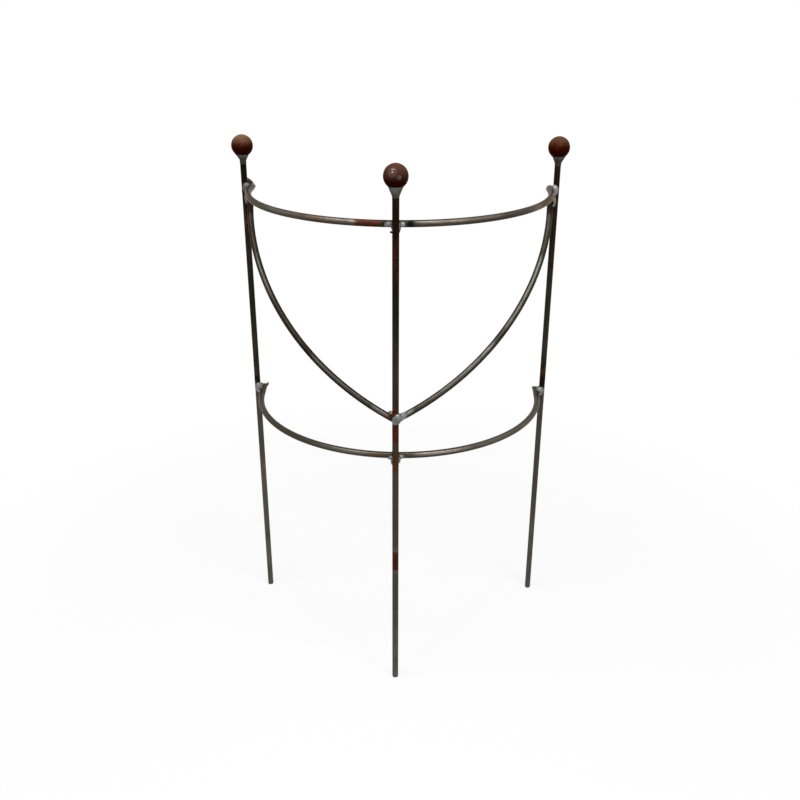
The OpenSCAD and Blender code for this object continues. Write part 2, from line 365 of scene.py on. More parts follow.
# The worn marks of the hoops and swags lie where the lamp's highlight falls: worn steel and a painted
# highlight
# Along the hoops in degrees from the front, to the right
HOOP_WEAR = {
    "upper": Wear(
        (-97, -80, -69, -57, -46, -34, -20, -12, 0, 12, 34, 45, 57, 68, 79, 86, 90, 97),
        (0.56, 0.66, 0.64, 0.64, 0.56, 0.58, 0.46, 0.42, 0.2, 0.42, 0.44, 0.48, 0.82, 0.66, 0.66,
         0.62, 0.66, 0.66),
        rust=((-29, -25, 2, 0.45), (-14, -4.5, 2, 0.72), (40, 50, 4, 0.15)),
        stain=(
            (-97, -64, 6, 0.45), (-42, -16, 5, 0.3), (7, 40, 4, 0.35), (60, 86, 2, 0.65),
            (80, 86.5, 1.5, 0.95),
        ),
        soot=((-5.5, -2.5, 1.2, 0.5), (3.3, 6.2, 1.5, 0.65)),
        worn=(
            (-52, -32, 6, 0.3), (-32, -16, 4, 0.42), (-16, -7, 3, 0.6), (7, 16, 3, 0.4),
            (16, 38, 4, 0.42), (38, 52, 6, 0.15),
        ),
    ),
    "lower": Wear(
        (-97, -90, -80, -69, -57, -46, -34, -11, 0, 11, 23, 34, 45, 68, 80, 90, 97),
        (0.4, 0.42, 0.66, 0.74, 0.54, 0.46, 0.48, 0.46, 0.3, 0.46, 0.54, 0.66, 0.70, 0.74, 0.72,
         0.5, 0.5),
        rust=((-97, -86, 5, 0.14), (-12, -3.5, 2.5, 0.42), (5, 9, 2, 0.35)),
        stain=((7, 28, 4, 0.25),),
        soot=((4, 7, 1.5, 0.4),),
        worn=((-28, -6, 8, 0.2), (7, 28, 4, 0.5), (28, 50, 6, 0.15)),
    ),
}
# Along the swags in millimetres from the V
SWAG_WEAR = {
    LEFT: Wear(
        (0, 30, 60, 130, 150, 220, 300, 350, 365, 378),
        (0.30, 0.04, 0.04, 0.04, 0.13, 0.13, 0.16, 0.24, 0.0, 0.0),
        rust=((0, 12, 3, 0.5), (42, 52, 4, 0.3), (356, 378, 6, 0.6)),
        stain=((0, 12, 4, 0.4), (300, 350, 20, 0.35)),
        soot=((354, 378, 6, 0.56),),
        worn=((10, 34, 5, 0.34), (34, 130, 8, 0.16), (225, 290, 12, 0.14)),
    ),
    RIGHT: Wear(
        (0, 40, 60, 180, 310, 350, 365, 378),
        (0.26, 0.18, 0.22, 0.22, 0.26, 0.32, 0.08, 0.04),
        rust=((44, 62, 6, 0.25), (356, 378, 8, 0.35)),
        soot=((34, 46, 5, 0.3), (354, 378, 8, 0.46)),
        worn=(
            (8, 24, 6, 0.6), (28, 46, 6, 0.2), (46, 130, 8, 0.22), (130, 155, 6, 0.25),
            (180, 225, 8, 0.14), (225, 290, 8, 0.2),
        ),
    ),
}


def wear_values(wear, places):
    """The tone and the strongest mark of each kind at places along a bar."""
    values = {"tone": np.interp(places, wear.places, wear.tones)}
    for kind in MARK_KINDS:
        values[kind] = np.zeros_like(places)
        for start, end, edge, peak in getattr(wear, kind):
            rise = step_up(places, start - edge, start + edge)
            fall = step_up(places, end - edge, end + edge)
            values[kind] = np.maximum(values[kind], peak * rise * (1 - fall))
    return values


def end_rings(cut, turn, radius, rounding, inwards):
    """Run and radius of the rings of a bar's end, from its middle out.

    The cut face lies where cut(turn, radius) says, and a quarter circle rounds its edge.
    """
    quarter = np.linspace(math.pi / 2, 0, ROUND_STEPS)
    face = np.linspace(0, radius - rounding, FACE_RINGS + 2)[1:-1]
    radii = np.concatenate((face, radius - rounding * (1 - np.cos(quarter))))[:, None]
    inset = np.concatenate((0 * face, rounding * (1 - np.sin(quarter))))[:, None]
    radii = np.broadcast_to(radii, (len(radii), len(turn)))
    return cut(turn, radii) + inwards * inset, radii


def bar_skin(surface, start, end, radius, rounding, wear, place_of):
    """A round bar: rings of a surface(run, turn, radius) between two cut faces with rounded edges."""
    turn = turns_round(BAR_SIDES)
    start_run, start_radii = end_rings(start, turn, radius, rounding[0], 1)
    end_run, end_radii = end_rings(end, turn, radius, rounding[1], -1)
    steps = int(np.mean(end_run[-1] - start_run[-1]) / BAR_PITCH)
    between = np.linspace(0, 1, steps + 1)[1:-1, None]
    body_run = start_run[-1] + (end_run[-1] - start_run[-1]) * between
    run = np.concatenate((start_run, body_run, end_run[::-1]))
    radii = np.concatenate((start_radii, np.full(body_run.shape, radius), end_radii[::-1]))
    turns = np.broadcast_to(turn, run.shape)
    points = surface(run, turns, radii)
    poles = [
        surface(cut(turn, 0 * turn), turn, 0 * turn).mean(axis=0) for cut in (start, end)
    ]
    straight = np.stack((radii * np.cos(turns), radii * np.sin(turns), run), axis=-1)
    # How far each point faces the side of the painted highlight, against the most facing point of its
    # ring
    facing = unit(points - surface(run, turns, 0.5 * radii)) @ PAINTED_HIGHLIGHT_WAY
    facing = facing / facing.max(axis=1, keepdims=True)
    values = {"straight": straight, "rub": step_up(facing, math.cos(PAINTED_HIGHLIGHT_REACH), 1)}
    values.update(wear_values(wear, place_of(run)))
    return close_grid(points, *poles, values)


def square_cut(run):
    """A cut straight across a bar at one run."""
    return lambda turn, radius: run + 0 * turn * radius


def cropped_cut(run, edge, slope, edge_turn, inwards):
    """Two faces that slope back from a blunt edge across the bar."""

    def cut(turn, radius):
        beside = np.abs(radius * np.sin(turn + edge_turn))
        return run + inwards * np.maximum(beside - edge / 2, 0) / math.tan(slope)

    return cut


def stake_surface(axis):
    """Rings round an upright axis: run is the height."""

    def surface(run, turn, radius):
        x = axis[0] + radius * np.cos(turn)
        y = axis[1] + radius * np.sin(turn)
        return np.stack((x, y, run), axis=-1)

    return surface


def hoop_line(run, settings):
    """A hoop's centre line and its heading: a wide arc, a closer one and a straight end on each side.

    The closer arc is just close enough for the straight end to seat against the stake.
    """
    stake_way = math.atan2(STAKE_AXES["right"][0], HOOP_Y - STAKE_AXES["right"][1])
    reach = STAKE_RING_R * math.cos(stake_way - settings.straight_from) - STAKE_RING_R + HOOP_R
    closer = (HOOP_R - reach) / (1 - math.cos(settings.straight_from - settings.close_from))
    close_r = HOOP_R - closer
    wide_run = HOOP_R * settings.close_from
    close_run = close_r * (settings.straight_from - settings.close_from)
    away = np.abs(run)
    wide = np.minimum(away, wide_run) / HOOP_R
    heading = wide + np.clip(away - wide_run, 0, close_run) / close_r
    straight = np.maximum(away - wide_run - close_run, 0)
    x = HOOP_R * np.sin(wide) + close_r * (np.sin(heading) - np.sin(wide))
    y = HOOP_R * np.cos(wide) + close_r * (np.cos(heading) - np.cos(wide))
    x = x + straight * np.cos(heading)
    y = y - straight * np.sin(heading)
    return np.sign(run) * x, HOOP_Y - y, np.sign(run) * heading


def hoop_surface(z, edge_turn, spreads, settings):
    """Rings round a hoop's centre line: run is the length of the line from the front to the right.

    Towards the cropped ends the rings spread along the blunt edge, on the left and on the right by
    the two spreads.
    """

    def surface(run, turn, radius):
        x, y, heading = hoop_line(run, settings)
        to_end = HOOP_END * HOOP_R - np.abs(run)
        spread = np.where(run < 0, spreads[0], spreads[1])
        spread = 1 + spread * (1 - step_up(to_end, 0, settings.crop_reach))
        along_edge = spread * radius * np.cos(turn + edge_turn)
        beside_edge = radius * np.sin(turn + edge_turn)
        out = along_edge * math.cos(edge_turn) + beside_edge * math.sin(edge_turn)
        down = beside_edge * math.cos(edge_turn) - along_edge * math.sin(edge_turn)
        x = x + out * np.sin(heading)
        y = y - out * np.cos(heading)
        return np.stack((x, y, z - down), axis=-1)

    return surface


# How often the mitre's place is bettered, and the step along the bar that gives its slope
MITRE_PASSES = 6
MITRE_PROBE = 0.1 * MM


class SwagArc:
    """Arc of a swag, from the V up to the back stake, in a slanting plane."""

    def __init__(self, side, settings):
        """The arc has the bow's rise over the line from foot to top, and bulges out and down."""
        pitch = 2 * BAR_R + settings.root_gap
        mirror = np.array((side, 1, 1))
        stake = STAKE_AXES["right"]
        top = np.array((
            stake[0] - pitch * math.sin(settings.touch),
            stake[1] - pitch * math.cos(settings.touch),
            HOOP_Z["upper"] - settings.top_drop,
        ))
        foot = np.array((
            0, STAKE_AXES["front"][1] + settings.foot_back, HOOP_Z["lower"] + settings.foot_rise
        ))
        chord = np.linalg.norm(top - foot)
        along = unit(top - foot)
        centre_line = (top + foot) / 2
        outward = np.array((centre_line[0], centre_line[1] - HOOP_Y, 0))
        outward = unit(outward - along * (outward @ along))
        bulge = math.cos(settings.hang) * outward
        bulge = bulge + math.sin(settings.hang) * np.cross(along, outward)
        self.radius = (chord ** 2 / 4 + settings.bow ** 2) / (2 * settings.bow)
        self.centre = mirror * (centre_line + bulge * (settings.bow - self.radius))
        self.along = mirror * along
        self.bulge = mirror * bulge
        self.across = np.cross(self.along, self.bulge)
        self.half = math.asin(chord / 2 / self.radius)
        self.length = 2 * self.half * self.radius
        self.side = side
        self.gap = settings.root_gap

    def surface(self, run, turn, radius):
        """Rings round the arc: run is the length of the arc from its foot."""
        bend = (run / self.radius - self.half)[..., None]
        out = self.radius + (radius * np.cos(turn))[..., None]
        beside = (radius * np.sin(turn))[..., None]
        arm = np.cos(bend) * self.bulge + np.sin(bend) * self.along
        points = self.centre + out * arm + beside * self.across
        return self.cope(points)

    def cope(self, points):
        """Points that lie within the front stake move back to its rear face."""
        x = points[..., 0] - STAKE_AXES["front"][0]
        clear = BAR_R + self.gap
        rear = np.sqrt(np.maximum(clear ** 2 - x ** 2, 0))
        inside = (np.abs(x) < clear) & (points[..., 1] - STAKE_AXES["front"][1] < rear)
        coped = points.copy()
        coped[..., 1] = np.where(inside, STAKE_AXES["front"][1] + rear, points[..., 1])
        return coped

    def mitre(self, turn, radius):
        """The run at which each side of the bar meets the plane between the two swags.

        Each pass follows the bar's slope from the run before to that plane.
        """
        run = 0 * turn * radius
        turns = turn + run
        for _ in range(MITRE_PASSES):
            here = self.surface(run, turns, radius)[..., 0] * self.side - self.gap / 2
            there = self.surface(run + MITRE_PROBE, turns, radius)[..., 0] * self.side - self.gap / 2
            run = run - here * MITRE_PROBE / (there - here)
        return run


# Welds and balls

# A bead from start to end in millimetres across, in front of and above a joint. Belly is where along
# it the bead is widest, and tan, slag and dull say how tinted, burnt and dark it is.
Bead = namedtuple("Bead", "start end width belly tan slag dull", defaults=(0.5, 0, 0, 0))

FRONT_BEADS = {
    "upper": (
        Bead((-2.4, -2.4, 0.3), (-13.6, -4.8, 0.2), 6.6, 0.45, 0, 0, 0.4),
        Bead((2.4, -2.4, -0.2), (11.2, -4.8, 0.6), 6.2, 0.55),
        Bead((3.5, -1.5, 2.0), (3.9, -2.2, -8.8), 4.2, 0.35, 0, 0, 0.6),
        Bead((-3.5, -1.5, 1.0), (-3.7, -2.2, -6.2), 3.6, 0.4, 0.3, 0, 0.6),
        Bead((-3.4, -0.2, -7.8), (-6.5, 0.0, -7.4), 2.8, 0.6, 0, 1),
    ),
    "lower": (
        Bead((-2.8, -2.5, 2.0), (-4.4, -2.8, -10.8), 5.2, 0.4, 0.3, 0, 0.3),
        Bead((-2.5, -3.0, -1.0), (-10.2, -4.6, -2.2), 5.4, 0.4, 0.2, 0, 0.3),
        Bead((2.8, -2.5, 2.0), (4.4, -2.8, -8.6), 5.6, 0.4, 0.3, 0, 0.3),
        Bead((2.5, -3.0, 0.0), (11.2, -4.6, 0.2), 5.6, 0.45, 0.2, 0, 0.3),
    ),
}
BACK_BEADS = {
    ("upper", LEFT): (
        Bead((2.8, 3.4, 7.6), (3.8, 3.4, -8.6), 11.2, 0.45, 0.25, 0, 0.8),
        Bead((8.4, 4.4, -0.6), (8.0, -10.5, 0.4), 9.5, 0.4, 0.5, 0, 0.5),
        Bead((1.8, 1.2, 13.0), (10.2, -10.0, 3.6), 3.2, 0.45, 0.75, 0.15),
        Bead((2.0, 1.4, 11.0), (9.4, -8.6, 2.6), 6.2, 0.45, 0.6, 0.55, 0.6),
    ),
    ("upper", RIGHT): (
        Bead((2.2, 3.4, 7.0), (2.8, 3.0, -9.2), 9.8, 0.42),
        Bead((7.9, 1.0, -0.4), (6.8, -15.0, -0.6), 9.6, 0.45, 0, 0, 0.5),
    ),
    ("lower", LEFT): (
        Bead((1.4, 3.6, 11.4), (2.6, 3.4, -6.2), 10.8, 0.45, 0, 0, 0.2),
        Bead((3.6, 2.0, 6.4), (5.0, -10.0, 2.0), 7.0, 0.45, 0.3, 0, 0.6),
        Bead((4.6, 2.2, 5.4), (5.8, 9.0, -2.2), 5.6, 0.4, 0.1, 0, 0.8),
        Bead((11.0, -15.0, -2.4), (12.2, -16.8, 3.4), 2.8, 0.4, 0, 1),
    ),
    ("lower", RIGHT): (
        Bead((2.4, 3.8, 9.4), (3.4, 3.4, -5.6), 10.4, 0.4, 0.1, 0, 0.1),
        Bead((3.8, 2.0, 5.4), (5.0, -9.6, 1.6), 6.8, 0.45, 0.3, 0, 0.6),
        Bead((4.8, 2.4, 4.4), (5.8, 9.0, -2.2), 5.2, 0.4, 0.1, 0, 0.3),
    ),
}
SWAG_TOP_BEADS = {
    LEFT: (
        Bead((3.0, 3.4, 8.4), (1.8, 3.8, -6.4), 6.2, 0.4, 0.85, 0.28, 0.5),
    ),
    RIGHT: (
        Bead((3.0, 3.4, 7.4), (1.6, 3.8, -6.6), 6.2, 0.4, 0.8, 0.2),
        Bead((5.6, 4.6, -4.4), (0.6, 4.8, -6.0), 3.0, 0.5),
    ),
}
SWAG_FOOT_BEADS = {
    LEFT: (
        Bead((-3.2, -2.2, 8.6), (-8.6, -9.0, 8.6), 5.2, 0.45, 0.9, 0, 0.2),
    ),
    RIGHT: (
        # The V's nugget: the first bead is dulled to a painted shade on its lower part; the second, not
        # dulled, lies over it higher up
        Bead((-1.8, 2.0, -4.4), (4.8, 1.4, 11.2), 11.6, 0.5, 0, 0, 0.55),
        Bead((1.4, 3.2, 3.6), (5.0, 1.9, 11.7), 9.2, 0.5),
        Bead((3.0, 2.0, 3.6), (15.0, -6.4, 9.2), 9.0, 0.28, 0, 0, 0.1),
    ),
}
# A collar under a ball: how far its top leans to the right, the height of its thin skirt and how
# dull it is
Collar = namedtuple("Collar", "lean skirt dull")
COLLARS = {
    "front": Collar(0.2 * MM, 1.2 * MM, 0.1),
    "left": Collar(-0.6 * MM, 4.2 * MM, 0.5),
    "right": Collar(0.9 * MM, 2.8 * MM, 0.7),
}
# Thickness of a collar's skirt, how hollow its cone is and how deep its top lies in the ball
COLLAR_TOE = 0.2 * MM
COLLAR_HOLLOW = 1.15
COLLAR_SUNK = 2 * MM
# Width of a collar's lumps, width and height of the waves in its foot, and the rise of a leaning side
COLLAR_LUMP_SIZE = 9 * MM
COLLAR_WAVE_SIZE = 14 * MM
COLLAR_WAVE = 1.2 * MM
COLLAR_RAISE = 0.6
# How much lighter a collar is at the ball than at its foot, and how much darker a dull one is
COLLAR_FADE = 0.45
COLLAR_DULLING = 0.5
# Width of a ball's dents against its radius
DENT_SIZE = 0.7

# Roundness of a bead's ends, the way that the front of its rings looks, the pitch of its ripples in
# millimetres and how far they bend to crescents
BEAD_ROUNDNESS = 0.6
BEAD_FRONT = np.array((0.0, -1.0, 0.35))
RIPPLE_PITCH = 1.8
RIPPLE_CRESCENT = 1.2
# What a bead's mesh says at each point
BEAD_LOOKS = ("tan", "slag", "dull")

# Drops of spatter beside each joint: how many, how far they spread, how large they are and how they
# look
SPATTER_COUNT = 4
SPATTER_SPREAD = 16 * MM
SPATTER_R = (0.22 * MM, 0.55 * MM)
SPATTER_LOOKS = {"tan": 0.3, "slag": 0.85, "dull": 0.0}

# Where the random numbers of each group of pieces start, and the step from one piece to the next
COLLAR_SEED = 20
FRONT_SEED = 40
BACK_SEED = 60
SWAG_SEED = 80
SEED_STEP = 7


def bead_radii(t, turn, bead, settings):
    """Radius against width: a round-ended swell, widest at the belly, with crescent ripples."""
    exponent = math.log(0.5) / math.log(bead.belly)
    swell = np.sin(math.pi * t ** exponent) ** BEAD_ROUNDNESS
    run = np.linalg.norm(np.subtract(bead.end, bead.start))
    ripples = run / RIPPLE_PITCH
    crescent = np.cos(2 * math.pi * ripples * t + RIPPLE_CRESCENT * np.cos(turn))
    return bead.width / 2 * MM * swell * (1 + settings.ripple * crescent)


def bead_skin(bead, joint, side, settings, seed):
    """A bead of weld: rings along a line, lumpy and rippled, closed by a pole at each end."""
    u = np.linspace(0, 1, BEAD_RINGS + 2)
    t = (1 - np.cos(math.pi * u)) / 2
    turn = turns_round(BEAD_SIDES)
    frame_axes = np.array((side, -1, 1)) * MM
    ends = [joint + np.array(point) * frame_axes for point in (bead.start, bead.end)]
    line = ends[0] + np.outer(t, ends[1] - ends[0])
    tangent = unit(ends[1] - ends[0])
    out = unit(BEAD_FRONT - tangent * (tangent @ BEAD_FRONT))
    beside = np.cross(tangent, out)
    ring = slice(1, -1)
    arm = np.cos(turn)[:, None] * out + np.sin(turn)[:, None] * beside
    radii = bead_radii(t[ring, None], turn, bead, settings)
    points = line[ring, None] + radii[..., None] * arm
    lumpy = 1 + settings.lump * lumps(points, settings.lump_size, seed)
    points = line[ring, None] + (radii * lumpy)[..., None] * arm
    values = {name: np.full(points.shape[:2], float(getattr(bead, name))) for name in BEAD_LOOKS}
    return close_grid(points, line[0], line[-1], values)


def sphere_ways(polar, sides):
    """Ways out from the middle of a sphere: rings at polar angles that start at its lowest point."""
    turn = turns_round(sides)
    x = np.sin(polar) * np.cos(turn)
    y = np.sin(polar) * np.sin(turn)
    return np.stack((x, y, np.broadcast_to(-np.cos(polar), x.shape)), axis=-1)


def speck_skin(place, radius):
    """A drop of spatter: a small sphere about its place."""
    polar = np.linspace(0, math.pi, SPECK_RINGS + 2)[1:-1, None]
    points = place + radius * sphere_ways(polar, SPECK_SIDES)
    pole = np.array((0, 0, radius))
    values = {name: np.full(points.shape[:2], look) for name, look in SPATTER_LOOKS.items()}
    return close_grid(points, place - pole, place + pole, values)


def spatter_skins(surface, run, radius, seed):
    """Drops of spatter at a radius all round a bar's line, scattered along that line about a joint."""
    draw = np.random.default_rng(seed)
    runs = run + draw.normal(0, SPATTER_SPREAD, SPATTER_COUNT)
    turns = draw.uniform(0, 2 * math.pi, SPATTER_COUNT)
    sizes = draw.uniform(*SPATTER_R, SPATTER_COUNT)
    places = surface(runs, turns, np.full(SPATTER_COUNT, radius))
    return [speck_skin(place, size) for place, size in zip(places, sizes)]


def ball_skin(centre, radius, dent, seed):
    """A ball: a circle's profile turned round the stake's axis, flat where it sits on the stake."""
    seat = math.asin(BAR_R / radius)
    polar = np.linspace(seat, math.pi, BALL_RINGS + 1)[:-1, None]
    way = sphere_ways(polar, BALL_SIDES)
    size = radius - dent * (1 + lumps(way, DENT_SIZE, seed))
    points = centre + way * size[..., None]
    top = centre + np.array((0, 0, size[-1].mean()))
    return close_grid(points, points[0].mean(axis=0), top, {})


def collar_skin(axis, collar, settings, seed):
    """A collar: a thin skirt on the bar and a cone out to the ball, turned round the stake's axis.

    The cone is a little hollow and leans to one side, more so towards the ball.
    """
    ring_r = COLLAR_R + settings.collar_spread
    height = BALL_Z - math.sqrt(BALL_R ** 2 - ring_r ** 2) - COLLAR_LOW[2]
    rise = np.linspace(0, height, COLLAR_RINGS)
    cone = np.clip((rise - collar.skirt) / (height - collar.skirt), 0, 1)
    flank = BAR_R + COLLAR_TOE + (ring_r - BAR_R - COLLAR_TOE) * cone ** COLLAR_HOLLOW
    heights = np.concatenate(([0], rise, [height + COLLAR_SUNK]))
    radii = np.concatenate(([BAR_R / 2], flank, [BAR_R]))[:, None]
    turn = turns_round(COLLAR_SIDES)
    z = np.broadcast_to((COLLAR_LOW[2] + heights)[:, None], (len(heights), COLLAR_SIDES))
    up = np.concatenate(([0], rise / height, [0]))[:, None]
    smooth = np.stack((axis[0] + radii * np.cos(turn), axis[1] + radii * np.sin(turn), z), axis=-1)
    lean = collar.lean * up ** 2 * np.cos(turn)
    bumpy = radii + settings.collar_lump * up * lumps(smooth, COLLAR_LUMP_SIZE, seed) + lean
    wave = COLLAR_WAVE * (1 - up) * lumps(smooth, COLLAR_WAVE_SIZE, seed + 1)
    slump = z + COLLAR_RAISE * lean + wave
    points = np.stack((axis[0] + bumpy * np.cos(turn), axis[1] + bumpy * np.sin(turn), slump), axis=-1)
    light = COLLAR_FADE * up - COLLAR_DULLING * collar.dull
    values = {"light": np.broadcast_to(light, points.shape[:2])}
    return close_grid(points, points[0].mean(axis=0), points[-1].mean(axis=0), values)


# Finishes

# Cloudy noise: the size of its lumps, its detail and how rough that is, and what multiplies the place
Noise = namedtuple("Noise", "size detail rough stretch", defaults=(0.55, None))
NOISE_MIDDLE = 0.5
BAR_STREAKS = Noise(0.9 * MM, 4, stretch=(1, 1, 0.07))
BAR_CLOUDS = Noise(9 * MM, 4, stretch=(1, 1, 0.4))
BAR_FLAKES = Noise(2.6 * MM, 6, 0.65)
BAR_PITS = Noise(0.5 * MM, 3)
BALL_CLOUDS = Noise(9 * MM, 4)
BALL_GRAINS = Noise(1.1 * MM, 5, 0.6)
BALL_PITS = Noise(0.45 * MM, 2)
WELD_CLOUDS = Noise(6 * MM, 3)
WELD_GRAINS = Noise(0.9 * MM, 4)
COLLAR_CLOUDS = Noise(5 * MM, 4)
COLLAR_GRAINS = Noise(0.8 * MM, 4)
# What a bar's mesh says at each point, the tone between the dark and the pale scale, and how much rust
# raises the flakes
BAR_LOOKS = ("tone", *MARK_KINDS, "rub")
MIDDLE_TONE = 0.5
RUST_RELIEF = 0.9
# Half the height in radii over which a ball turns to dark rust and painted shade, how dark its chips
# are, and the soft share of a glazed spot
DARK_AND_SHADE_BLUR = 0.5
CHIP_DARKNESS = 0.5
GLAZE_EDGE = 0.6
# How far a dull weld shows its shade, and how far slag covers it
DULL_SHADE = 0.2
DULL_SLAG = 0.4
# Inputs and output of a Mix node that mixes colours
MIX_INPUTS = (0, 6, 7)
MIX_OUTPUT = 2

# How a ball is rusted and painted with light and shade: the name of its finish, how far dust and a
# painted top light cover its upper side, the height in radii below which it turns to dark rust and a
# painted shade, how far it blooms, and its glazed spots: the way from its middle, their reach in radii
# and their strength
BallLook = namedtuple("BallLook", "finish dusty settled blooming glazed")
BALL_LOOKS = {
    "front": BallLook(
        "glazed_ball_finish", 0.28, -0.1, 0.55,
        (((-0.26, -0.88, 0.40), 0.46, 1.0), ((0.30, -0.95, 0.06), 0.26, 0.9)),
    ),
    "left": BallLook("dusty_ball_finish", 1.0, 0.2, 0.0, ()),
    "right": BallLook("rusty_ball_finish", 0.38, 0.5, 0.0, ()),
}


class Wire:
    """An output socket. Python's operators on it add Math nodes to its tree."""

    def __init__(self, shading, socket):
        self.shading = shading
        self.socket = socket

    def math(self, operation, first, second):
        """A Math node on two numbers."""
        return self.shading.node("ShaderNodeMath", {"operation": operation}, {0: first, 1: second})

    def __add__(self, other):
        return self.math("ADD", self, other)

    def __radd__(self, other):
        return self.math("ADD", other, self)

    def __sub__(self, other):
        return self.math("SUBTRACT", self, other)

    def __rsub__(self, other):
        return self.math("SUBTRACT", other, self)

    def __mul__(self, other):
        return self.math("MULTIPLY", self, other)

    def __rmul__(self, other):
        return self.math("MULTIPLY", other, self)


class Shading:
    """A node tree that is being written."""

    def __init__(self, tree):
        self.tree = tree
        tree.nodes.clear()

    def node(self, kind, settings, sockets, output=0):
        """Adds a node: its settings first, then the values or links of its sockets."""
        node = self.tree.nodes.new(kind)
        for name, value in settings.items():
            setattr(node, name, value)
        for name, value in sockets.items():
            if isinstance(value, Wire):
                self.tree.links.new(value.socket, node.inputs[name])
            else:
                node.inputs[name].default_value = value
        return Wire(self, node.outputs[output] if node.outputs else None)

    def mix(self, factor, first, second, blend="MIX"):
        """A colour that the second one covers or changes as far as the factor says."""
        sockets = dict(zip(MIX_INPUTS, (factor, opaque(first), opaque(second))))
        settings = {"data_type": "RGBA", "blend_type": blend}
        return self.node("ShaderNodeMix", settings, sockets, MIX_OUTPUT)

    def attribute(self, name, output="Fac"):
        """What the mesh says at each point under that name."""
        return self.node("ShaderNodeAttribute", {"attribute_name": name}, {}, output)

    def place(self):
        """The point on the object."""
        return self.node("ShaderNodeTexCoord", {}, {}, "Object")

    def noise(self, vector, kind):
        """Cloudy noise of a kind about 0, drawn out where the kind says so."""
        if kind.stretch:
            sockets = {0: vector, 1: kind.stretch}
            vector = self.node("ShaderNodeVectorMath", {"operation": "MULTIPLY"}, sockets)
        sockets = {
            "Vector": vector, "Scale": 1 / kind.size, "Detail": kind.detail, "Roughness": kind.rough
        }
        return self.node("ShaderNodeTexNoise", {}, sockets) - NOISE_MIDDLE

    def ramp(self, value, low, high):
        """0 below low, 1 above high and smooth between."""
        sockets = {"Value": value, "From Min": low, "From Max": high}
        return self.node("ShaderNodeMapRange", {"interpolation_type": "SMOOTHSTEP"}, sockets)

    def bump(self, height, distance, strength):
        """The surface's direction, bent by a height map."""
        sockets = {"Height": height, "Distance": distance, "Strength": strength}
        return self.node("ShaderNodeBump", {}, sockets)


def opaque(value):
    """A colour with its fourth part, or a link as it is."""
    return value if isinstance(value, Wire) else (*value, 1.0)


def new_material(name):
    """A material of that name, emptied, and the node tree to write it in."""
    material = bpy.data.materials.get(name) or bpy.data.materials.new(name)
    material.use_nodes = True
    return material, Shading(material.node_tree)


def close_material(shading, sockets):
    """Ends a material with one Principled shader."""
    shader = shading.node("ShaderNodeBsdfPrincipled", {}, sockets)
    shading.node("ShaderNodeOutputMaterial", {}, {"Surface": shader})


def bar_finish(settings):
    """Mill scale drawn out along the bar, with rust, soot and flecks of rubbed steel that also paint a
    highlight on the side facing the top lamp.
    """
    material, shading = new_material("bar_finish")
    straight = shading.attribute("straight", "Vector")
    streaks = shading.noise(straight, BAR_STREAKS)
    clouds = shading.noise(straight, BAR_CLOUDS)
    flakes = shading.noise(straight, BAR_FLAKES)
    pits = shading.noise(straight, BAR_PITS)
    tone, rust, stain, soot, worn, rub = (shading.attribute(name) for name in BAR_LOOKS)

    light = tone + 0.30 * clouds + 0.30 * streaks + 0.25 * flakes
    scale = shading.mix(shading.ramp(light, 0, MIDDLE_TONE), settings.dark, settings.middle)
    scale = shading.mix(shading.ramp(light, MIDDLE_TONE, 1), scale, settings.pale)
    # Worn steel and a painted highlight, on the side of each bar that faces the top lamp's highlight
    wear_and_painted_sheen = worn * rub * (1 + 1.4 * streaks + flakes)
    scale = shading.mix(wear_and_painted_sheen, scale, settings.worn)
    scale = shading.mix(stain + rust, scale, settings.stain, "MULTIPLY")
    fresh = shading.ramp(flakes, low=-0.15, high=0.12)
    rust_colour = shading.mix(fresh, settings.deep_rust, settings.rust)
    rusty = shading.ramp(rust + 0.6 * clouds + 0.5 * flakes, low=0.30, high=0.80)
    scale = shading.mix(rusty, scale, rust_colour)
    burnt = shading.ramp(soot + 0.5 * clouds + 0.3 * flakes, low=0.25, high=0.7)
    scale = shading.mix(burnt, scale, settings.soot)

    raised = RUST_RELIEF * rusty * (flakes + NOISE_MIDDLE)
    height = 0.5 * streaks + 0.6 * flakes + 0.3 * pits + raised
    close_material(shading, {
        "Base Color": scale,
        "Roughness": 0.34 + 0.2 * flakes + 0.35 * rusty + 0.2 * burnt,
        "Metallic": 1 - 0.7 * rusty - 0.2 * burnt,
        "Specular IOR Level": 0.15,
        "Specular Tint": opaque((0.64, 0.60, 0.56)),
        "Normal": shading.bump(height, distance=0.10 * MM, strength=0.3),
    })
    return material


